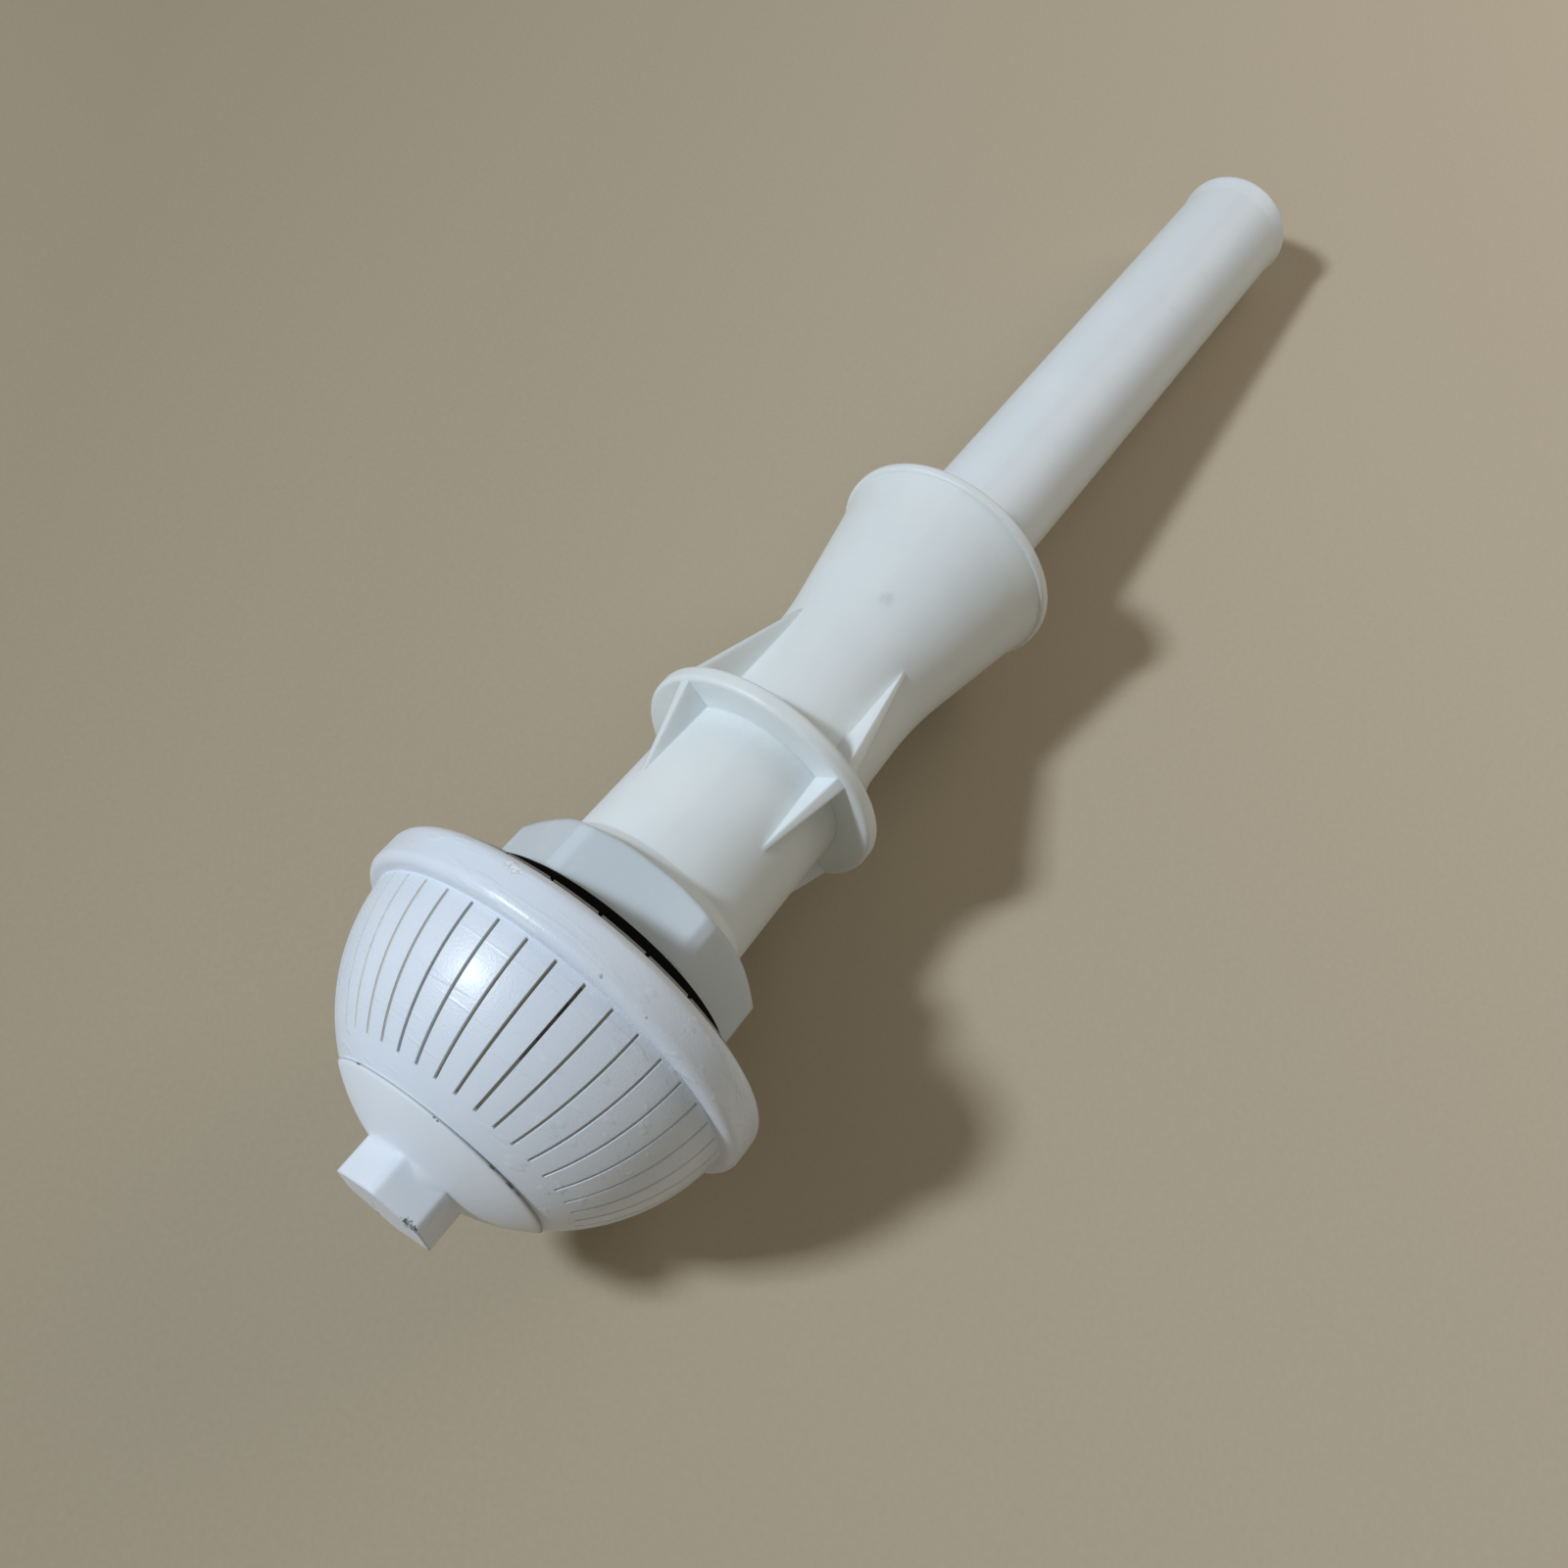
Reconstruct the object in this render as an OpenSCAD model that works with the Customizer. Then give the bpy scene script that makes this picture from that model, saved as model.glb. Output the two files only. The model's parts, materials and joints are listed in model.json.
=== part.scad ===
// Long-stem sand filter nozzle with its cast-in seat, lying at rest on a floor.
// All sizes are in millimetres. Stations are measured along the nozzle's axis,
// from the end face of the wrench boss (0) to the far end of the stem.

/* [Strainer dome] */
// Radius of the dome's outer sphere
dome_r = 36.1; // [30:0.1:45]
// Station of the sphere's centre
dome_centre = 42.3; // [38:0.1:48]
// Wall thickness of the dome
dome_wall = 3.0; // [2:0.1:4]
// Number of slots round the dome
slot_count = 42; // [30:1:48]
// Width of one slot
slot_w = 0.55; // [0.3:0.05:0.9]
// Radius on the dome where a slot starts to run in below the crown
slot_crown_r = 24.6; // [23:0.1:27]
// Length of the sloping run-in at the crown end of a slot
slot_run_in = 2.4; // [1:0.1:4]
// Land between the square end of a slot and the rim
slot_land = 0.5; // [0.3:0.1:2]
// Turn of the first slot from the top
slot_turn = 1.7; // [-4:0.1:4]

/* [Dome rim] */
// Outer radius of the round rim
rim_r = 38.7; // [38:0.1:42]
// Station of the rim's front face
rim_front = 37.8; // [37.6:0.1:39]
// Station of the rim's rear face
rim_rear = 46.1; // [45:0.1:48]
// Rounding of the rim's front edge
rim_front_round = 1.8; // [0.5:0.1:2.2]
// Step inside the rim that the base plate rests against
bore_step = 0.3; // [0.2:0.05:0.5]
// Rounding of the rim's rear edge
rim_rear_round = 2.6; // [1:0.1:3]

/* [Crown cap] */
// How far the cap stands proud of the dome
cap_proud = 0.3; // [0.2:0.05:0.8]
// Radius of the edge where cap and dome meet
crown_edge_r = 20.5; // [18:0.1:21]
// Width of the dome's flat land under the cap
cap_land = 1.2; // [0.9:0.1:2]
// Height of the chamfer that leaves the dirt groove at the cap's edge
cap_groove = 0.1; // [0.1:0.05:0.5]
// Width of the flat ring where the cap sits on the land
cap_seat_w = 0.8; // [0.4:0.1:0.9]
// Depth of the plug below the cap
plug_depth = 2.6; // [2:0.1:4]
// Wall thickness of the plug round its hollow
plug_wall = 2.2; // [1.5:0.1:4]
// Depth of the hollow under the plug
plug_core_depth = 3.4; // [1:0.1:4]
// Width across the flats of the hexagonal wrench boss
boss_af = 17; // [14:0.1:20]
// Depth by which the boss's corners are rounded off
boss_corner = 0.4; // [0.2:0.1:0.8]
// Fillet between the boss and the cap
boss_fillet = 2.4; // [1:0.1:3]
// Turn of the boss's first corner from the top
boss_turn = -3.5; // [-30:0.5:30]

/* [Strainer base] */
// Station of the base's inner face, inside the dome
base_inner = 42.5; // [41:0.1:43.5]
// Radius of the thin lip behind the rim
lip_r = 35.0; // [34.2:0.1:35.4]
// Thickness of the lip
lip_t = 0.95; // [0.4:0.05:1.5]
// Number of notches round the lip
notch_count = 24; // [12:1:36]
// Width of one notch
notch_w = 0.8; // [0.4:0.1:1.5]
// Depth of one notch
notch_depth = 1.3; // [0.5:0.1:1.6]
// Turn of the first notch from the top
notch_turn = -4.4; // [-7:0.1:7]
// Outer radius of the threaded spigot
spigot_r = 15.0; // [14.6:0.1:15.4]
// Length of the spigot behind the lip
spigot_len = 28; // [20:0.5:32]
// Radius of the water hole through the base
base_hole_r = 10.0; // [8:0.1:10.4]
// Thickness of the shoulder that stops the stem
stem_stop_t = 2.9; // [2:0.1:3.2]

/* [Gasket] */
// Outer radius of the rubber gasket
gasket_r = 26.4; // [24:0.1:28]
// Thickness of the gasket
gasket_t = 4.45; // [2:0.1:5]

/* [Hexagonal nut] */
// Width across the flats of the nut
nut_af = 45; // [42:0.1:46]
// Thickness of the nut
nut_t = 11.7; // [8:0.1:14]
// Height of the chamfer over the nut's corners
nut_chamfer = 1.8; // [0.5:0.1:3]
// Depth by which the nut's corners are rounded off
nut_corner = 0.7; // [0.3:0.1:1.2]
// Turn of the nut's first corner from the top
nut_turn = -20; // [-30:0.5:30]

/* [Seat tube] */
// Radius of the neck where it meets the nut
neck_r = 20.3; // [19:0.1:22]
// Length of the conical neck
neck_len = 3.5; // [2:0.1:6]
// Tube radius behind the neck
tube_r = 18.2; // [17.5:0.1:19]
// Tube radius at the collar, on the dome side
tube_collar_r = 17.8; // [17:0.1:18.2]
// Tube radius at the collar, on the stem side
tube_back_r = 16.9; // [16.4:0.1:17.6]
// Radius of the throat where the funnel begins
throat_r = 16.1; // [15.6:0.1:17]
// Station of the throat
throat_at = 127; // [120:0.5:132]
// Length on each side of the throat over which tube and funnel blend
throat_blend = 8; // [2:0.5:10]

/* [Seat collar and ribs] */
// Station of the collar's dome-side face
collar_front = 96.8; // [92:0.1:102]
// Thickness of the collar
collar_t = 3.4; // [2:0.1:5]
// Outer radius of the collar
collar_r = 24.6; // [22:0.1:28]
// Rounding of the collar's edges
collar_round = 0.9; // [0.3:0.1:1.4]
// Number of ribs on each side of the collar
rib_count = 4; // [3:1:6]
// Thickness of one rib at the collar
rib_t = 2.6; // [1.5:0.1:3.5]
// Thickness of one rib at its ends
rib_tip_t = 0.8; // [0.4:0.1:1.4]
// Turn of the first rib from the top
rib_turn = 46.5; // [0:0.5:60]
// Rib radius where it meets the collar
rib_top_r = 23.9; // [21:0.1:24.4]
// Station where the dome-side ribs run into the tube
rib_front_end = 79.5; // [72:0.5:88]
// Station where the stem-side ribs run into the funnel
rib_back_end = 127; // [118:0.5:132]

/* [Seat funnel] */
// Station of the funnel's open end
funnel_end = 162.7; // [155:0.1:170]
// Outer radius of the funnel where its flare starts
funnel_r = 21.5; // [20:0.1:22.5]
// Outer radius of the lip round the mouth
mouth_r = 23.5; // [22.5:0.1:25]
// Thickness of the lip
mouth_t = 2.1; // [1.4:0.1:3]
// Step by which the lip stands out from the flare
mouth_step = 0.8; // [0.2:0.1:1]
// Rounding of the lip's edges
mouth_round = 0.5; // [0.2:0.1:0.6]
// Length of the flare between the cone and the lip
mouth_flare = 4.6; // [2:0.1:6]
// Inner radius of the mouth
mouth_bore_r = 21.0; // [19.5:0.1:22]
// Inner radius of the tube where it guides the stem
guide_r = 13.3; // [12.8:0.1:14]

/* [Stem] */
// Outer radius of the stem tube
stem_r = 12.5; // [11:0.1:12.8]
// Wall thickness of the stem tube
stem_wall = 2.0; // [1.5:0.1:3]
// Station of the stem's open end
stem_end = 296.5; // [200:0.5:420]
// Radius of the bead at the open end
bead_r = 13.0; // [12.6:0.05:13.2]
// Length over which the stem widens into the bead
bead_len = 5.5; // [4:0.1:12]
// Rounding of the bead's outer edge
bead_round = 1.6; // [0.4:0.1:2]

/* [Clearances] */
// Gap all round where one piece is pushed or screwed into another
fit_gap = 0.1; // [0.05:0.05:0.3]
// Smoothness of the round surfaces
fineness = 96; // [48:12:144]

/* [Hidden] */
$fn = fineness;
eps = 0.01;
dome_in_r = dome_r - dome_wall;
dome_bore_r = dome_in_r + bore_step;
cap_r = dome_r + cap_proud;
dome_depth = sqrt(dome_r * dome_r - crown_edge_r * crown_edge_r);
cap_face = dome_centre - dome_depth;
crown_hole_r = crown_edge_r - cap_land;
plug_r = crown_hole_r - fit_gap;
plug_core_r = plug_r - plug_wall;
cap_rim_depth = dome_depth + cap_groove;
cap_rim_r = sqrt(cap_r * cap_r - cap_rim_depth * cap_rim_depth);
cap_seat_r = crown_hole_r + cap_seat_w;
boss_r = boss_af / sqrt(3);
boss_base = dome_centre - sqrt(cap_r * cap_r - boss_r * boss_r) + 1;
fillet_r = boss_af / 2 + boss_fillet;
fillet_foot = dome_centre - sqrt(cap_r * cap_r - fillet_r * fillet_r);
slot_start = dome_centre - sqrt(dome_r * dome_r - slot_crown_r * slot_crown_r);
slot_deep = slot_start + slot_run_in;
slot_end = rim_front - slot_land;
slot_floor_r = sqrt(dome_in_r * dome_in_r - pow(dome_centre - slot_deep, 2)) - 0.6;
base_r = dome_bore_r - fit_gap;
lip_rear = rim_rear + lip_t;
spigot_end = lip_rear + spigot_len;
stem_top = base_inner + stem_stop_t;
stem_in_r = stem_r - stem_wall;
socket_r = stem_r + fit_gap;
gasket_rear = lip_rear + gasket_t;
nut_r = nut_af / sqrt(3);
nut_rear = gasket_rear + nut_t;
nut_out_r = nut_r - nut_corner;
nut_cone_run = nut_chamfer * (nut_out_r - nut_af / 2) / (nut_r - nut_af / 2);
neck_end = nut_rear + neck_len;
seat_bore_r = spigot_r + fit_gap;
seat_bore_end = spigot_end + 1;
collar_rear = collar_front + collar_t;
mouth_front = funnel_end - mouth_t;
flare_start = mouth_front - mouth_flare;
tube_slope = (throat_r - tube_back_r) / (throat_at - collar_rear + 1);
funnel_slope = (funnel_r - throat_r) / (flare_start - throat_at);
throat_in = [throat_r - tube_slope * throat_blend, throat_at - throat_blend];
throat_out = [throat_r + funnel_slope * throat_blend, throat_at + throat_blend];
bead_front = stem_end - bead_len;
// Resting pose: the rim's rear edge and the bead both touch the floor
rest_rim_s = rim_rear - rim_rear_round;
rest_rim_r = rim_r - rim_rear_round;
rest_tip_s = stem_end - bead_round;
rest_tip_r = bead_r - bead_round;
rest_run = rest_tip_s - rest_rim_s;
rest_drop = rest_rim_r - rest_tip_r;
rest_span = sqrt(rest_run * rest_run + rest_drop * rest_drop);
lie_tilt = atan2(rest_drop, rest_run) + asin((rim_rear_round - bead_round) / rest_span);
lie_z = rest_rim_s * sin(lie_tilt) + rest_rim_r * cos(lie_tilt) + rim_rear_round;
boss_corner_low = max([for (k = [0 : 5]) -boss_r * cos(boss_turn + 60 * k)]);
boss_low = min(boss_r - boss_corner, boss_corner_low);
x_low = -boss_low * sin(lie_tilt);
x_high = rest_tip_s * cos(lie_tilt) + rest_tip_r * sin(lie_tilt) + bead_round;
lie_x = -(x_low + x_high) / 2;

// Point at share u of a smooth curve from a to b, drawn towards m
function blend(a, m, b, u) = a * (1 - u) * (1 - u) + m * 2 * u * (1 - u) + b * u * u;

// Lays a piece that is built upright round the z axis down on the floor
module lay() {
  translate([lie_x, 0, lie_z])
    rotate([0, 90 + lie_tilt, 0])
      rotate([0, 0, 180])
        children();
}

// Half section of a ring with rounded outer edges
module ring_section(r_in, r_out, s_a, s_b, q_a, q_b) {
  mid = (s_a + s_b) / 2;
  translate([r_in, s_a])
    square([r_out - r_in - q_a, mid - s_a + eps]);
  translate([r_in, mid])
    square([r_out - r_in - q_b, s_b - mid]);
  translate([r_in, s_a + q_a])
    square([r_out - r_in, s_b - s_a - q_a - q_b]);
  translate([r_out - q_a, s_a + q_a])
    circle(q_a);
  translate([r_out - q_b, s_b - q_b])
    circle(q_b);
}

// Flat blade that cuts one slot, running out towards the crown
module slot_blade() {
  far_r = dome_r + 2;
  rotate([90, 0, 0])
    translate([0, 0, -slot_w / 2])
      linear_extrude(slot_w)
        polygon([
          [slot_crown_r, slot_start],
          [slot_floor_r, slot_deep],
          [slot_floor_r, slot_end],
          [far_r, slot_end],
          [far_r, slot_start]
        ]);
}

module strainer_dome() {
  color([0.93, 0.94, 0.95])
    lay()
      difference() {
        rotate_extrude()
          difference() {
            union() {
              intersection() {
                translate([0, dome_centre]) circle(dome_r);
                translate([0, cap_face]) square([dome_r, rim_front + 2 - cap_face]);
              }
              ring_section(dome_in_r - 4, rim_r, rim_front, rim_rear, rim_front_round, rim_rear_round);
            }
            translate([0, dome_centre]) circle(dome_in_r);
            translate([0, base_inner]) square([dome_bore_r, rim_rear - base_inner + 1]);
            translate([0, cap_face - 1]) square([crown_hole_r, base_inner - cap_face + 2]);
          }
        for (k = [0 : slot_count - 1])
          rotate([0, 0, slot_turn + k * 360 / slot_count])
            slot_blade();
      }
}

module crown_cap() {
  color([0.94, 0.94, 0.92])
    lay()
      difference() {
        union() {
          rotate_extrude() {
            intersection() {
              translate([0, dome_centre]) circle(cap_r);
              square([cap_r, cap_face - cap_groove]);
            }
            polygon([
              [0, cap_face - cap_groove - eps],
              [cap_rim_r, cap_face - cap_groove - eps],
              [cap_rim_r, cap_face - cap_groove],
              [cap_seat_r, cap_face],
              [0, cap_face]
            ]);
            translate([0, cap_face - eps])
              square([plug_r, plug_depth + eps]);
            difference() {
              translate([boss_af / 2 - 1, fillet_foot - boss_fillet])
                square([boss_fillet + 1, boss_fillet + 1]);
              translate([fillet_r, fillet_foot - boss_fillet])
                circle(boss_fillet);
            }
          }
          intersection() {
            rotate([0, 0, boss_turn])
              cylinder(h = boss_base, r = boss_r, $fn = 6);
            cylinder(h = boss_base + 1, r = boss_r - boss_corner);
          }
        }
        translate([0, 0, cap_face + plug_depth - plug_core_depth])
          cylinder(h = plug_core_depth + 1, r = plug_core_r);
      }
}

module strainer_base() {
  color([0.92, 0.93, 0.94])
    lay()
      difference() {
        union() {
          translate([0, 0, base_inner])
            cylinder(h = lip_rear - base_inner, r = base_r);
          translate([0, 0, rim_rear])
            cylinder(h = lip_t, r = lip_r);
          translate([0, 0, lip_rear - eps])
            cylinder(h = spigot_len + eps, r = spigot_r);
        }
        translate([0, 0, base_inner - 1])
          cylinder(h = stem_stop_t + 2, r = base_hole_r);
        translate([0, 0, stem_top])
          cylinder(h = spigot_end - stem_top + 1, r = socket_r);
        for (k = [0 : notch_count - 1])
          rotate([0, 0, notch_turn + k * 360 / notch_count])
            translate([lip_r - notch_depth, -notch_w / 2, rim_rear - 1])
              cube([notch_depth + 1, notch_w, lip_t + 2]);
      }
}

module gasket() {
  color([0.04, 0.04, 0.045])
    lay()
      translate([0, 0, lip_rear])
        difference() {
          cylinder(h = gasket_t, r = gasket_r);
          translate([0, 0, -1])
            cylinder(h = gasket_t + 2, r = spigot_r + fit_gap);
        }
}

// Hexagonal nut with its corners chamfered towards the tube
module hex_nut() {
  color([0.93, 0.94, 0.95])
    lay()
      difference() {
        intersection() {
          translate([0, 0, gasket_rear])
            rotate([0, 0, nut_turn])
              cylinder(h = nut_t, r = nut_r, $fn = 6);
          rotate_extrude()
            polygon([
              [0, gasket_rear],
              [nut_out_r, gasket_rear],
              [nut_out_r, nut_rear - nut_cone_run],
              [nut_af / 2, nut_rear],
              [0, nut_rear]
            ]);
        }
        translate([0, 0, gasket_rear - 1])
          cylinder(h = nut_t + 2, r = seat_bore_r);
      }
}

// One rib on each side of the collar, thinning towards its ends
module rib_pair() {
  root_r = throat_r - 1;
  half = rib_t / 2;
  tip = rib_tip_t / 2;
  intersection() {
    rotate([90, 0, 0])
      translate([0, 0, -rib_t])
        linear_extrude(rib_t * 2)
          polygon([
            [root_r, rib_front_end],
            [tube_r - 0.3, rib_front_end],
            [rib_top_r, collar_front + 0.5],
            [rib_top_r, collar_rear - 0.5],
            [throat_r + 0.2, rib_back_end],
            [root_r, rib_back_end]
          ]);
    translate([root_r - 1, 0, 0])
      rotate([90, 0, 90])
        linear_extrude(collar_r - root_r + 1)
          polygon([
            [-tip, rib_front_end - 1],
            [-half, collar_front + 0.5],
            [-half, collar_rear - 0.5],
            [-tip, rib_back_end + 1],
            [tip, rib_back_end + 1],
            [half, collar_rear - 0.5],
            [half, collar_front + 0.5],
            [tip, rib_front_end - 1]
          ]);
  }
}

module seat() {
  color([0.92, 0.92, 0.87])
    lay()
      difference() {
        union() {
          rotate_extrude() {
            polygon([
              [0, nut_rear],
              [neck_r, nut_rear],
              [tube_r, neck_end],
              [tube_collar_r, collar_front + 1],
              [tube_back_r, collar_rear - 1],
              for (k = [0 : 6])
                blend(throat_in, [throat_r, throat_at], throat_out, k / 6),
              [funnel_r, flare_start],
              [mouth_r - mouth_step, mouth_front],
              [mouth_r - mouth_step, funnel_end],
              [0, funnel_end]
            ]);
            ring_section(throat_r - 1, collar_r, collar_front, collar_rear, collar_round, collar_round);
            ring_section(throat_r, mouth_r, mouth_front, funnel_end, mouth_round, mouth_round);
          }
          for (k = [0 : rib_count - 1])
            rotate([0, 0, rib_turn + k * 360 / rib_count])
              rib_pair();
        }
        translate([0, 0, nut_rear - 1])
          cylinder(h = seat_bore_end - nut_rear + 1, r = seat_bore_r);
        translate([0, 0, seat_bore_end - 1])
          cylinder(h = funnel_end - seat_bore_end, r = guide_r);
        translate([0, 0, throat_at])
          cylinder(h = funnel_end - throat_at + eps, r1 = guide_r, r2 = mouth_bore_r);
      }
}

module stem() {
  color([0.93, 0.94, 0.95])
    lay()
      difference() {
        rotate_extrude() {
          polygon([
            [stem_in_r - 1, stem_top],
            [stem_r, stem_top],
            [stem_r, bead_front],
            [bead_r, rest_tip_s],
            [rest_tip_r, rest_tip_s],
            [rest_tip_r, stem_end],
            [stem_in_r - 1, stem_end]
          ]);
          translate([rest_tip_r, rest_tip_s]) circle(bead_round);
        }
        translate([0, 0, stem_top - 1])
          cylinder(h = stem_end - stem_top + 2, r = stem_in_r);
      }
}

strainer_dome();
crown_cap();
strainer_base();
gasket();
hex_nut();
seat();
stem();
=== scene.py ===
# %% [markdown]
# # A sand filter nozzle, dressed for its portrait
# The nozzle is a slotted strainer dome on a long hollow stem, screwed through a ribbed seat
# that is cast into a filter floor. The packed solids already have the right shapes and sizes,
# so this lesson loads them as a fixed frame and spends its effort on finishes, light and camera.

# %% Load the packed solids
import json
import math
import bpy
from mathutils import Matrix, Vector

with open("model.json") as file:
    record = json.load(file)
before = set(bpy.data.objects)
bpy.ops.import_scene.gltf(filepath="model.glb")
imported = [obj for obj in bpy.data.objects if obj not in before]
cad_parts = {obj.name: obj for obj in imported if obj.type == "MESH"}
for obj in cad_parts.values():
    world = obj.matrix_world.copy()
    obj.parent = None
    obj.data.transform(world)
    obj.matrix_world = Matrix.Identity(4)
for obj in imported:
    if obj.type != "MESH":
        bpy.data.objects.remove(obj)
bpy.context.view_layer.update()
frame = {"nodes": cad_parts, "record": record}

print("solids:", ", ".join(sorted(frame["nodes"])))

# %% [markdown]
# ## The nozzle's own axis
# Everything on the nozzle is placed by two numbers that a turner would use: the station along
# the axis, counted in millimetres from the end of the wrench boss, and the turn round the axis,
# counted in degrees from the top towards +Y. The stem's bore is a mount in the record, so its
# place and direction give the axis, and nothing has to be measured again.

# %% Axis and stations
MM = 0.001
BORE_STATION = 296.4
bore = next(m for m in frame["record"]["mounts"] if m["name"] == "stem_bore")
AXIS = Vector(bore["axis"]).normalized()
SIDE = Vector((0, 1, 0))
UP = AXIS.cross(SIDE).normalized()
BOSS_END = Vector(bore["pos_m"]) - AXIS * BORE_STATION * MM


def at(station, radius=0.0, turn=0.0):
    """The point at a station, a radius and a turn from the top, in metres."""
    a = math.radians(turn)
    out = UP * math.cos(a) + SIDE * math.sin(a)
    return BOSS_END + AXIS * station * MM + out * radius * MM


print("boss end:", [round(v, 4) for v in BOSS_END], "axis:", [round(v, 3) for v in AXIS])

# %% [markdown]
# ## Shader sums written as Python
# A finish is a small sum: so much dirt here, so much gloss there. Wiring Math nodes by hand hides
# that sum, so one class wraps a socket and lets it be added, multiplied and compared like a number.
# Any other node comes from its `node` method: the type, the settings, then the socket values.

# %% A socket that does sums
class Wire:
    def __init__(self, tree, socket=None):
        self.tree = tree
        self.socket = socket

    def node(self, kind, settings=None, sockets=None, out=0):
        made = self.tree.nodes.new(kind)
        for name, value in (settings or {}).items():
            setattr(made, name, value)
        for key, value in (sockets or {}).items():
            if isinstance(value, Wire):
                self.tree.links.new(value.socket, made.inputs[key])
            else:
                made.inputs[key].default_value = value
        return Wire(self.tree, made.outputs[out])

    def sum(self, operation, a, b=0.0, clamp=False):
        return self.node("ShaderNodeMath", {"operation": operation, "use_clamp": clamp}, {0: a, 1: b})

    def __add__(self, other):
        return self.sum("ADD", self, other)

    def __radd__(self, other):
        return self.sum("ADD", other, self)

    def __sub__(self, other):
        return self.sum("SUBTRACT", self, other)

    def __rsub__(self, other):
        return self.sum("SUBTRACT", other, self)

    def __mul__(self, other):
        return self.sum("MULTIPLY", self, other)

    def __rmul__(self, other):
        return self.sum("MULTIPLY", other, self)

    def __truediv__(self, other):
        return self.sum("DIVIDE", self, other)

    def __rtruediv__(self, other):
        return self.sum("DIVIDE", other, self)

    def __abs__(self):
        return self.sum("ABSOLUTE", self)


def ramp(wire, low, high):
    """0 below low, 1 above high, a straight line between; low may be the larger."""
    return wire.sum("MULTIPLY", wire - low, 1.0 / (high - low), clamp=True)


def band(wire, edges):
    """0 outside four rising edges, 1 between the middle two, straight lines between them."""
    out_low, in_low, in_high, out_high = edges
    return ramp(wire, out_low, in_low) * ramp(wire, out_high, in_high)


print("Wire has", sum(callable(entry) for entry in vars(Wire).values()), "methods")

# %% [markdown]
# ## Where am I on the nozzle?
# Dirt sits in the groove and specks sit at known places, so each finish asks for its own station,
# turn and radius. Object coordinates are metres in the shared frame, and three dot products turn
# them into millimetres along the axis, up and sideways. A picture wrapped round the solids could carry
# the same marks, but it would need a flat layout of each piece; a distance needs none.

# %% Stations inside a material
OBJECT_SPACE = 3
NOISE_ROUGHNESS = 0.55
SPOT_CORE = 0.45
SPOT_RAGGED = 2.2


class Place:
    """Where a point of the surface lies, in the nozzle's own terms."""

    def __init__(self, paint):
        self.position = paint.node("ShaderNodeTexCoord", out=OBJECT_SPACE)
        rel = paint.node(
            "ShaderNodeVectorMath", {"operation": "SUBTRACT"}, {0: self.position, 1: BOSS_END}
        )
        dot = {"operation": "DOT_PRODUCT"}
        along, up, side = (
            paint.node("ShaderNodeVectorMath", dot, {0: rel, 1: way}, out=1) / MM
            for way in (AXIS, UP, SIDE)
        )
        self.station = along
        self.turn = paint.sum("ARCTAN2", side, up) * math.degrees(1.0)
        self.radius = paint.sum("SQRT", up * up + side * side)


def noise(paint, place, per_metre, detail=3.0, stretch=None):
    """Smooth noise between 0 and 1; stretch lengthens it along the frame's x, y and z."""
    where = place.position
    if stretch:
        where = paint.node("ShaderNodeMapping", None, {"Vector": where, "Scale": stretch})
    return paint.node(
        "ShaderNodeTexNoise", None,
        {"Vector": where, "Scale": per_metre, "Detail": detail, "Roughness": NOISE_ROUGHNESS},
    )


def spot(paint, place, station, turn, radius, size, grain=None):
    """1 at a point of the surface and 0 beyond `size` millimetres; grain makes its edge ragged."""
    centre = at(station, radius, turn)
    gap = paint.node(
        "ShaderNodeVectorMath", {"operation": "DISTANCE"}, {0: place.position, 1: centre}, out=1
    ) / MM
    if grain is not None:
        gap = gap + (grain - 0.5) * size * SPOT_RAGGED
    return ramp(gap, size, size * SPOT_CORE)


def mixed(paint, mask, under, over):
    """Colour `under` where the mask is 0 and `over` where it is 1."""
    return paint.node(
        "ShaderNodeMix", {"data_type": "RGBA"}, {0: mask, 6: under, 7: over}, out=2
    )


print("a spot is solid out to", SPOT_CORE, "of its size")

# %% [markdown]
# ## One recipe for moulded plastic
# Every white piece is injection-moulded plastic that has been handled: a faint cloudiness in the
# colour, a gloss that is a little uneven, and a fine skin of bumps. On top lie the piece's own marks,
# each a mask with a colour and the roughness it adds. The solids have sharp edges where the moulding
# has small rounds, so a Bevel node turns the normal near each edge. A little constant subsurface gives
# the softness of milky plastic.

# %% The moulded plastic recipe
DIRT = (0.035, 0.030, 0.022, 1.0)
# Chalky white for chips and rubs, and for the painted highlight on the dome's rim.
CHALK_AND_HIGHLIGHT = (0.86, 0.91, 0.97, 1.0)
# Grey painted shade along the ragged edge of a chip.
CHIP_EDGE_SHADE = (0.36, 0.37, 0.38, 1.0)
BLACK = (0.0, 0.0, 0.0, 1.0)
CLOUDS, GRAINS, CRUMBS, SKIN_BUMPS = 55.0, 900.0, 2200.0, 2600.0
BUMP_STRENGTH = 0.25
BUMP_DEPTH = 0.0004
CLOUD_BUMP = 0.25
BEVEL_SAMPLES = 6
PLASTIC_IOR = 1.49
COAT_ROUGHNESS = 0.22
MILKY_REACH = (0.004, 0.0036, 0.003)


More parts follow.
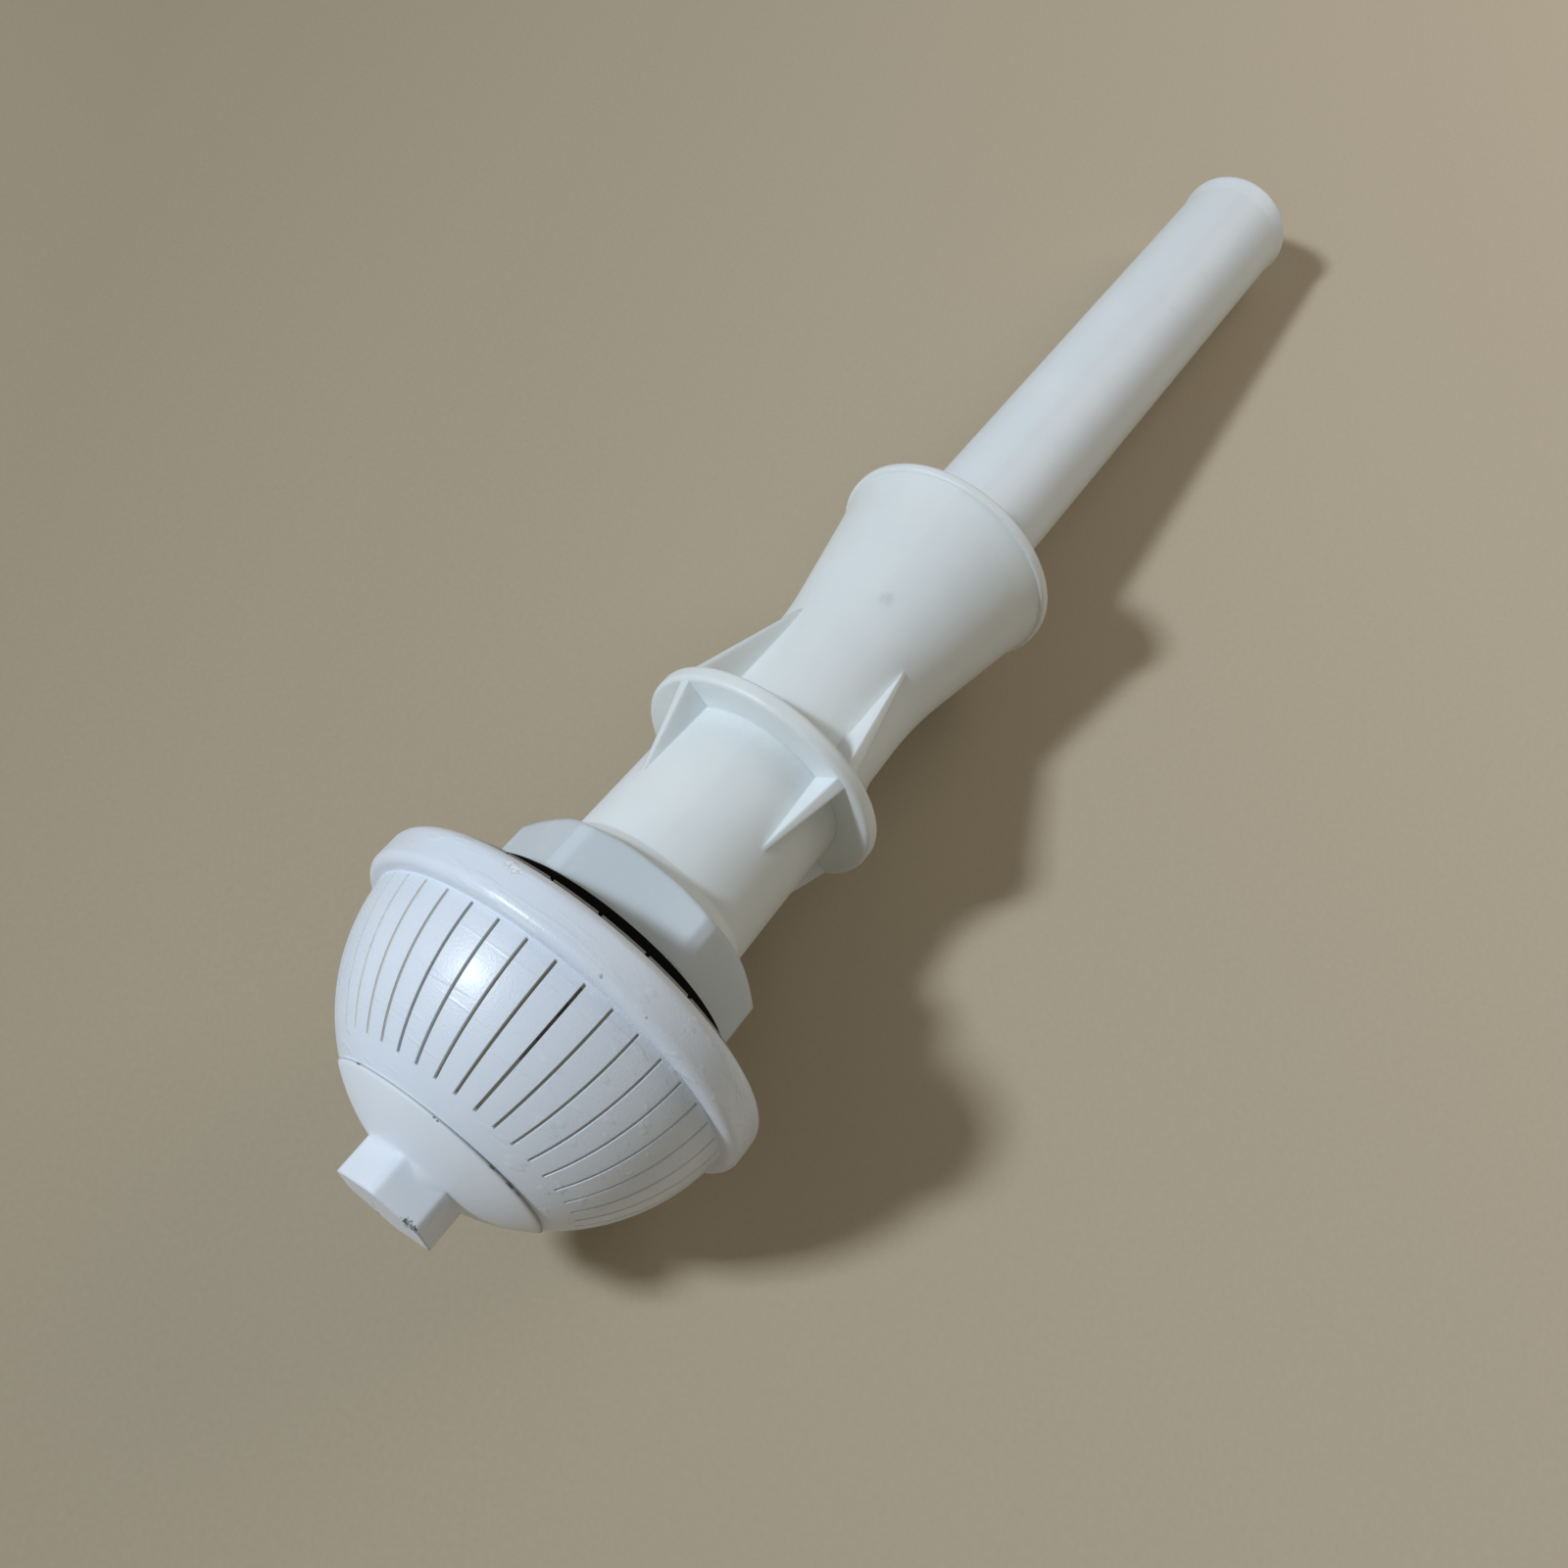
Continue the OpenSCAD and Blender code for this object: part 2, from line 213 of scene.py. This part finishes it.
def plastic(
    name, tint, cloud_tint, gloss, marks, soften,
    subsurface=0.12, coat=0.0, skin_depth=0.12, glow=None,
):
    """marks(paint, place, grain) returns ([(mask, colour, added roughness), ...], bump height).

    soften is the radius in millimetres that moulded edges seem rounded by.
    glow, if given, is (mask maker, colour): painted light, an emission standing in for light soaked
    through the milky wall.
    """
    mat = bpy.data.materials.new(name)
    mat.use_nodes = True
    tree = mat.node_tree
    shader = tree.nodes["Principled BSDF"]
    paint = Wire(tree)
    place = Place(paint)
    cloud = noise(paint, place, CLOUDS, detail=4.0)
    grain = noise(paint, place, GRAINS, detail=2.0)
    skin = noise(paint, place, SKIN_BUMPS, detail=2.0)
    layers, height = marks(paint, place, grain)
    colour = mixed(paint, ramp(cloud, 0.38, 0.68), tint, cloud_tint)
    rough = gloss + (cloud - 0.5) * 0.14
    for mask, over, added in layers:
        colour = mixed(paint, mask, colour, over)
        rough = rough + mask * added
    height = skin * skin_depth + cloud * CLOUD_BUMP + height
    edges = paint.node("ShaderNodeBevel", {"samples": BEVEL_SAMPLES}, {"Radius": soften * MM})
    bump = paint.node(
        "ShaderNodeBump", None,
        {"Strength": BUMP_STRENGTH, "Distance": BUMP_DEPTH, "Height": height, "Normal": edges},
    )
    tree.links.new(colour.socket, shader.inputs["Base Color"])
    tree.links.new(rough.socket, shader.inputs["Roughness"])
    tree.links.new(bump.socket, shader.inputs["Normal"])
    # Painted light: the mask's glow is an emission, not a lamp.
    if glow:
        make_mask, glow_colour = glow
        light = mixed(paint, make_mask(paint, place), BLACK, glow_colour)
        tree.links.new(light.socket, shader.inputs["Emission Color"])
        shader.inputs["Emission Strength"].default_value = 1.0
    shader.inputs["Subsurface Weight"].default_value = subsurface
    shader.inputs["Subsurface Radius"].default_value = MILKY_REACH
    shader.inputs["Subsurface Scale"].default_value = 1.0
    shader.inputs["IOR"].default_value = PLASTIC_IOR
    shader.inputs["Coat Weight"].default_value = coat
    shader.inputs["Coat Roughness"].default_value = COAT_ROUGHNESS
    print(name, "has", len(tree.nodes), "nodes")
    return mat


def dress(node, mat):
    piece = frame["nodes"][node]
    piece.data.materials.clear()
    piece.data.materials.append(mat)


print("plastic bumps lie", BUMP_DEPTH / MM, "mm deep at most")

# %% [markdown]
# ## The strainer dome
# The dome is the glossiest piece. Its rim has been knocked: a chalky chip on the rear edge, with painted
# shade in a grey ring round it, and three small dark specks. A painted highlight runs along the front
# edge. Fine scratches catch the light on the crown side. The slot walls lie below the outer sphere, so
# the distance from the sphere's centre picks them out, and they are coloured olive brown, most of it
# round one turn. The wall is milky, so some of the light outside soaks into the slots and the cap's
# joint. Tracing that light through the wall would take very many samples, so a faint painted glow
# stands in for it, strongest in the slots' outer edges on the lit side, and lightening the joint's
# shade.

# %% Dome finish
DOME_CENTRE, DOME_R = 42.3, 36.1
RIM_FRONT = 37.8
# The slot walls are coloured olive brown, most strongly round one turn and less beyond it.
SLOT_OLIVE = (0.24, 0.22, 0.12, 1.0)
# The colour of the painted glow in the slots and the cap's joint.
PAINTED_SLOT_GLOW = (0.25, 0.25, 0.21, 1.0)
RIM_SPECKS = ((38.7, -20.3, 38.6, 0.45), (37.9, -64.9, 38.5, 0.4), (38.9, -33.4, 38.6, 0.3))
RIM_CHIPS = (
    (44.3, 12.2, 38.6, 0.8), (44.1, 10.9, 38.6, 0.9), (43.9, 9.6, 38.6, 0.85), (44.0, 8.4, 38.6, 0.6),
)
# Painted highlight: a thin bright line along the rim's front edge, given as station, turn and half its
# length in degrees.
RIM_EDGE_HIGHLIGHT = (38.1, 2.0, 6.0)
RIM_SKIN = (37.0, 37.6)
OLIVE_TURN, OLIVE_FADE = -15.0, (35.0, 55.0)
LIP_DEPTHS = (0.08, 0.25, 2.0, 2.5)
LIT_TURNS = (15.0, 35.0, 95.0, 115.0)
BEYOND_JOINT = (21.0, 21.5)
# Where the painted glow lies along the joint, and its strengths in the slots, their lips and the joint.
JOINT_STATION, JOINT_RADII, JOINT_TURNS = 12.6, (20.75, 20.55), (-35.0, 0.0)
SLOT_LIGHT, LIP_LIGHT, JOINT_LIGHT = 0.28, 0.9, 0.3


def depth(paint, place):
    """Millimetres below the dome's outer sphere."""
    run = place.station - DOME_CENTRE
    return DOME_R - paint.sum("SQRT", place.radius * place.radius + run * run)


def before_rim(place):
    """1 on the slotted ball, 0 on the rim."""
    return ramp(place.station, RIM_FRONT, RIM_FRONT - 0.2)


def in_slot(paint, place):
    """1 on the walls of the slots and inside the dome, 0 on its outer skin."""
    return ramp(depth(paint, place), 0.3, 1.2) * before_rim(place)


def lip_glow_mask(paint, place):
    """1 on the outer part of the slot walls on the dome's lit side, where the painted glow is strongest.
    """
    wall = band(depth(paint, place), LIP_DEPTHS) * ramp(place.radius, *BEYOND_JOINT)
    return wall * band(place.turn, LIT_TURNS) * before_rim(place)


def painted_joint_light(place):
    """Painted light along the joint between dome and cap, on its lit side, lightening the groove's
    shade.
    """
    near = ramp(abs(place.station - JOINT_STATION), 0.6, 0.3) * ramp(place.radius, *JOINT_RADII)
    return near * ramp(place.turn, *JOINT_TURNS) * JOINT_LIGHT


def painted_slot_glow(paint, place):
    """Painted light in the slots, most of it in their lips on the lit side, and in the joint."""
    deep = in_slot(paint, place) * SLOT_LIGHT
    slots = paint.sum("MAXIMUM", deep, lip_glow_mask(paint, place) * LIP_LIGHT)
    return paint.sum("MAXIMUM", slots, painted_joint_light(place))


def spots(paint, place, grain, points):
    """The strongest of several spots."""
    mask = None
    for station, turn, radius, size in points:
        one = spot(paint, place, station, turn, radius, size, grain)
        mask = one if mask is None else paint.sum("MAXIMUM", mask, one)
    return mask


def dome_marks(paint, place, grain):
    dirt = spots(paint, place, grain, RIM_SPECKS) * 0.5
    crumbs = noise(paint, place, CRUMBS, detail=1.0)
    chip = spots(paint, place, crumbs, RIM_CHIPS)
    # Painted highlight along the rim's front edge, in chalky white.
    station, turn, half = RIM_EDGE_HIGHLIGHT
    edge_highlight = ramp(abs(place.station - station), 0.3, 0.06)
    edge_highlight = edge_highlight * ramp(abs(place.turn - turn), half, half * 0.7) * ramp(place.radius, *RIM_SKIN)
    scratch = noise(paint, place, 700.0, detail=1.0, stretch=(1.0, 0.06, 0.5))
    scratch = ramp(scratch, 0.6, 0.7)
    # The slot walls' olive fades away from one turn.
    olive_share = 1.0 - ramp(abs(place.turn - OLIVE_TURN), *OLIVE_FADE) * 0.7
    # Painted shade in a grey ring round the chip's edge.
    chip_edge_shade = band(chip, (0.05, 0.3, 0.45, 0.75))
    layers = [
        (in_slot(paint, place) * olive_share, SLOT_OLIVE, 0.3), (edge_highlight * 0.8, CHALK_AND_HIGHLIGHT, 0.1),
        (chip, CHALK_AND_HIGHLIGHT, -0.1), (chip_edge_shade * 0.5, CHIP_EDGE_SHADE, 0.2), (dirt, DIRT, 0.3),
    ]
    return layers, scratch * 0.7 + chip * (grain - 0.5) * 3.0


DOME_TINT = (0.74, 0.80, 0.88, 1.0)
DOME_CLOUD = (0.78, 0.83, 0.90, 1.0)
# The dome's slots and joint glow with painted light.
dress("strainer_dome", plastic(
    "glossy_dome_plastic", DOME_TINT, DOME_CLOUD, 0.36, dome_marks, 0.15,
    coat=0.1, skin_depth=0.45, glow=(painted_slot_glow, PAINTED_SLOT_GLOW),
))

# %% [markdown]
# ## The crown cap
# The cap is duller. A faint olive line has gathered in the groove round its edge, with a few thin dark
# dashes in it, and there are black specks on one corner of the boss's end face. The specks and dashes
# are placed one by one, because noise alone would put dirt where the real cap is clean.

# %% Cap finish
GROOVE_STATION, GROOVE_RADII = 12.4, (20.2, 20.4)
CAP_EDGE_RADII = (20.0, 20.3)
GROOVE_STAIN = (0.50, 0.49, 0.38, 1.0)
GROOVE_DASHES = ((37.5, 3.0), (-41.0, 3.0), (-54.0, 6.0))
CAP_SCRATCH = ((12.3, -8.8, 20.6, 0.3), (12.2, -10.6, 20.5, 0.25))
END_SPECKS = (
    (0.0, -54.8, 6.6, 0.6), (0.1, -47.0, 8.7, 0.9), (0.2, -40.0, 9.0, 0.8), (0.1, -51.0, 9.0, 0.8),
    (0.0, 128.0, 3.5, 0.3), (0.0, 148.0, 5.6, 0.3), (0.0, 159.0, 8.0, 0.4),
)


def cap_marks(paint, place, grain):
    in_groove = ramp(abs(place.station - GROOVE_STATION), 0.22, 0.08) * ramp(place.radius, *GROOVE_RADII)
    crumbs = noise(paint, place, CRUMBS, detail=1.0)
    dirt = spots(paint, place, crumbs, END_SPECKS + CAP_SCRATCH) * 0.85
    for turn, half in GROOVE_DASHES:
        dash = in_groove * ramp(abs(place.turn - turn), half, half * 0.7) * ramp(grain, 0.42, 0.55)
        dirt = paint.sum("MAXIMUM", dirt, dash * 0.8)
    chalk = ramp(noise(paint, place, 300.0), 0.66, 0.8) * 0.25
    return [(in_groove * 0.25, GROOVE_STAIN, 0.1), (chalk, CHALK_AND_HIGHLIGHT, 0.2), (dirt, DIRT, 0.3)], dirt * -0.3


def painted_cap_joint_light(paint, place):
    """Painted light in the joint, on the cap's own edge."""
    return painted_joint_light(place) * ramp(place.radius, *CAP_EDGE_RADII)


CAP_TINT = (0.79, 0.84, 0.90, 1.0)
CAP_CLOUD = (0.83, 0.87, 0.92, 1.0)
# The cap's edge at the joint takes the same painted glow, on its lit side.
dress("crown_cap", plastic(
    "dull_cap_plastic", CAP_TINT, CAP_CLOUD, 0.46, cap_marks, 1.2, glow=(painted_cap_joint_light, PAINTED_SLOT_GLOW),
))

# %% [markdown]
# ## Base, nut, seat and stem
# The base shows only its notched lip, painted dark grey for the shade under the rim, with a little
# dirt. The nut is painted darker than the dome for the rim's shadow on it. The seat is a touch more
# ivory, with a small grey smudge on the funnel and dust where the ribs meet the collar.
# The stem is the cleanest piece: an extruded tube with faint lines along it. All four use the one
# plastic recipe, so only their marks and tints have to be said.

# %% Base, nut, seat and stem finishes
SMUDGE = (134.0, -6.5, 17.3, 2.0)
COLLAR_STATION = 98.5


def base_marks(paint, place, grain):
    dirt = ramp(grain, 0.45, 0.8) * 0.18
    return [(dirt, DIRT, 0.3)], dirt * -0.2


def nut_marks(paint, place, grain):
    rub = ramp(noise(paint, place, 240.0), 0.58, 0.75) * 0.25
    return [(rub, CHALK_AND_HIGHLIGHT, 0.15)], grain * 0.1


def seat_marks(paint, place, grain):
    station, turn, radius, size = SMUDGE
    smudge = spot(paint, place, station, turn, radius, size) * ramp(grain, 0.2, 0.7) * 0.2
    dust = ramp(abs(place.station - COLLAR_STATION), 9.0, 2.0) * ramp(place.radius, 19.5, 17.6)
    dirt = paint.sum("MAXIMUM", smudge, dust * ramp(grain, 0.3, 0.8) * 0.06)
    flow = noise(paint, place, 160.0, detail=2.0, stretch=(0.15, 1.0, 1.0))
    return [(ramp(flow, 0.6, 0.75) * 0.2, CHALK_AND_HIGHLIGHT, 0.1), (dirt, DIRT, 0.3)], flow * 0.1


def stem_marks(paint, place, grain):
    lines = noise(paint, place, 420.0, detail=2.0, stretch=(0.03, 1.0, 1.0))
    dirt = ramp(noise(paint, place, 120.0), 0.68, 0.8) * 0.05
    return [(ramp(lines, 0.55, 0.8) * 0.15, CHALK_AND_HIGHLIGHT, 0.1), (dirt, DIRT, 0.3)], lines * 0.2


# The lip's dark grey and the nut's darker tint are painted shade from the rim.
LIP_SHADE_TINT, LIP_SHADE_CLOUD = (0.30, 0.29, 0.29, 1.0), (0.35, 0.34, 0.34, 1.0)
NUT_SHADE_TINT, NUT_SHADE_CLOUD = (0.63, 0.70, 0.75, 1.0), (0.67, 0.735, 0.78, 1.0)
SEAT_TINT, SEAT_CLOUD = (0.78, 0.828, 0.83, 1.0), (0.82, 0.86, 0.86, 1.0)
STEM_TINT, STEM_CLOUD = (0.81, 0.865, 0.90, 1.0), (0.85, 0.895, 0.92, 1.0)
dress("strainer_base", plastic("lip_plastic", LIP_SHADE_TINT, LIP_SHADE_CLOUD, 0.5, base_marks, 0.1))
dress("hex_nut", plastic("nut_plastic", NUT_SHADE_TINT, NUT_SHADE_CLOUD, 0.36, nut_marks, 1.6, coat=0.15))
dress("seat", plastic(
    "ivory_seat_plastic", SEAT_TINT, SEAT_CLOUD, 0.42, seat_marks, 0.7, subsurface=0.35,
))
dress("stem", plastic("stem_plastic", STEM_TINT, STEM_CLOUD, 0.4, stem_marks, 0.8, coat=0.1))

# %% [markdown]
# ## The rubber gasket
# Black rubber is dark, rough and slightly dusty. The plastic recipe would make it look moulded and
# milky, so it has a small one of its own: dust that changes the colour a little and the gloss more.

# %% Gasket finish
RUBBER = (0.003, 0.003, 0.003, 1.0)
RUBBER_DUST = (0.009, 0.009, 0.009, 1.0)


def rubber(name):
    mat = bpy.data.materials.new(name)
    mat.use_nodes = True
    tree = mat.node_tree
    shader = tree.nodes["Principled BSDF"]
    paint = Wire(tree)
    place = Place(paint)
    dust = ramp(noise(paint, place, 350.0, detail=4.0), 0.5, 0.75)
    colour = mixed(paint, dust * 0.5, RUBBER, RUBBER_DUST)
    rough = 0.7 + dust * 0.2
    tree.links.new(colour.socket, shader.inputs["Base Color"])
    tree.links.new(rough.socket, shader.inputs["Roughness"])
    shader.inputs["Specular IOR Level"].default_value = 0.1
    print(name, "has", len(tree.nodes), "nodes")
    return mat


dress("gasket", rubber("black_gasket_rubber"))

# %% [markdown]
# ## The floor
# The nozzle lies on a plain tan surface. One large square is enough for it: a fine mottle keeps it
# from looking flat, and a slow change of colour across it is painted light, brighter towards the right
# as the camera sees it. A lamp could also do that, but it would change the nozzle as well.

# %% Floor
FLOOR_HALF = 3.0
# Painted light: the floor's colour brightens along this way across it.
PAINTED_LIGHT_WAY = Vector((0.58, -0.81, 0.0))
PAINTED_LIGHT_REACH = 0.2
FLOOR_MOTTLE = 900.0
FLOOR_PAINTED_DIM = (0.345, 0.285, 0.20, 1.0), (0.385, 0.32, 0.23, 1.0)
FLOOR_PAINTED_BRIGHT = (0.60, 0.505, 0.37, 1.0), (0.66, 0.56, 0.415, 1.0)
FLOOR_CORNERS = (-1, -1), (1, -1), (1, 1), (-1, 1)


def floor_finish():
    mat = bpy.data.materials.new("tan_floor")
    mat.use_nodes = True
    tree = mat.node_tree
    shader = tree.nodes["Principled BSDF"]
    paint = Wire(tree)
    where = paint.node("ShaderNodeTexCoord", out=OBJECT_SPACE)
    mottle = paint.node(
        "ShaderNodeTexNoise", None, {"Vector": where, "Scale": FLOOR_MOTTLE, "Detail": 2.0}
    )
    # Painted light: a dim colour on one side of the floor, a bright one on the other.
    dim_floor = mixed(paint, mottle, *FLOOR_PAINTED_DIM)
    bright_floor = mixed(paint, mottle, *FLOOR_PAINTED_BRIGHT)
    across = paint.node(
        "ShaderNodeVectorMath", {"operation": "DOT_PRODUCT"}, {0: where, 1: PAINTED_LIGHT_WAY}, out=1
    )
    colour = mixed(paint, ramp(across, -PAINTED_LIGHT_REACH, PAINTED_LIGHT_REACH), dim_floor, bright_floor)
    tree.links.new(colour.socket, shader.inputs["Base Color"])
    shader.inputs["Roughness"].default_value = 0.85
    shader.inputs["Specular IOR Level"].default_value = 0.15
    return mat


floor_mesh = bpy.data.meshes.new("floor")
corners = [(x * FLOOR_HALF, y * FLOOR_HALF, 0) for x, y in FLOOR_CORNERS]
floor_mesh.from_pydata(corners, [], [(0, 1, 2, 3)])
floor = bpy.data.objects.new("floor", floor_mesh)
bpy.context.collection.objects.link(floor)
floor_mesh.materials.append(floor_finish())
print("floor", FLOOR_HALF * 2, "m square")

# %% [markdown]
# ## The camera
# The picture looks steeply down from the dome's side, so near that the stem's far end is clearly
# smaller. The camera's place and lens were found by fitting circles on the nozzle to the picture, which
# is surer than moving a camera by eye.

# %% Camera
CAMERA_AT = Vector((-143.75, -72.46, 269.72)) * MM
CAMERA_AIM = Vector((-35.63, 4.78, 0.0)) * MM
SENSOR = 36.0
FOCAL_PIXELS = 1474.3
PHOTO_PIXELS = 1600.0
lens = bpy.data.cameras.new("camera")
lens.sensor_width = SENSOR
lens.lens = FOCAL_PIXELS * SENSOR / PHOTO_PIXELS
lens.clip_start = 0.01
camera = bpy.data.objects.new("camera", lens)
camera.location = CAMERA_AT
camera.rotation_euler = (CAMERA_AIM - CAMERA_AT).to_track_quat("-Z", "Y").to_euler()
bpy.context.collection.objects.link(camera)
bpy.context.scene.camera = camera
reach = (CAMERA_AIM - CAMERA_AT).length
print("camera", round(reach, 3), "m from its aim, lens", round(lens.lens, 1), "mm")

# %% [markdown]
# ## The light
# A cool light comes from the upper left, and warm light comes back from the room. The edges of the
# shadow on the floor give the cool light's place, and a small soft box keeps them as crisp as they are.
# A wide, weak box and a dim warm world stand in for the room.

# %% Light
LIT_POINT = Vector((0, 0, 0.03))
ROOM_TINT = (1.0, 0.95, 0.83, 1.0)
ROOM_STRENGTH = 0.20


def soft_box(name, at_point, size, watts, tint):
    lamp = bpy.data.lights.new(name, "AREA")
    lamp.size = size
    lamp.energy = watts
    lamp.color = tint
    box = bpy.data.objects.new(name, lamp)
    box.location = at_point
    box.rotation_euler = (LIT_POINT - Vector(at_point)).to_track_quat("-Z", "Y").to_euler()
    bpy.context.collection.objects.link(box)


soft_box("key_light", (-0.508, 0.55, 0.96), size=0.13, watts=9.9, tint=(0.78, 0.88, 1.0))
soft_box("fill_light", (0.62, -0.25, 0.5), size=0.5, watts=1.2, tint=(1.0, 0.96, 0.90))
world = bpy.data.worlds.new("studio")
bpy.context.scene.world = world
world.use_nodes = True
room = world.node_tree.nodes["Background"]
room.inputs["Color"].default_value = ROOM_TINT
room.inputs["Strength"].default_value = ROOM_STRENGTH
bpy.context.scene.view_settings.view_transform = "Standard"

# %% [markdown]
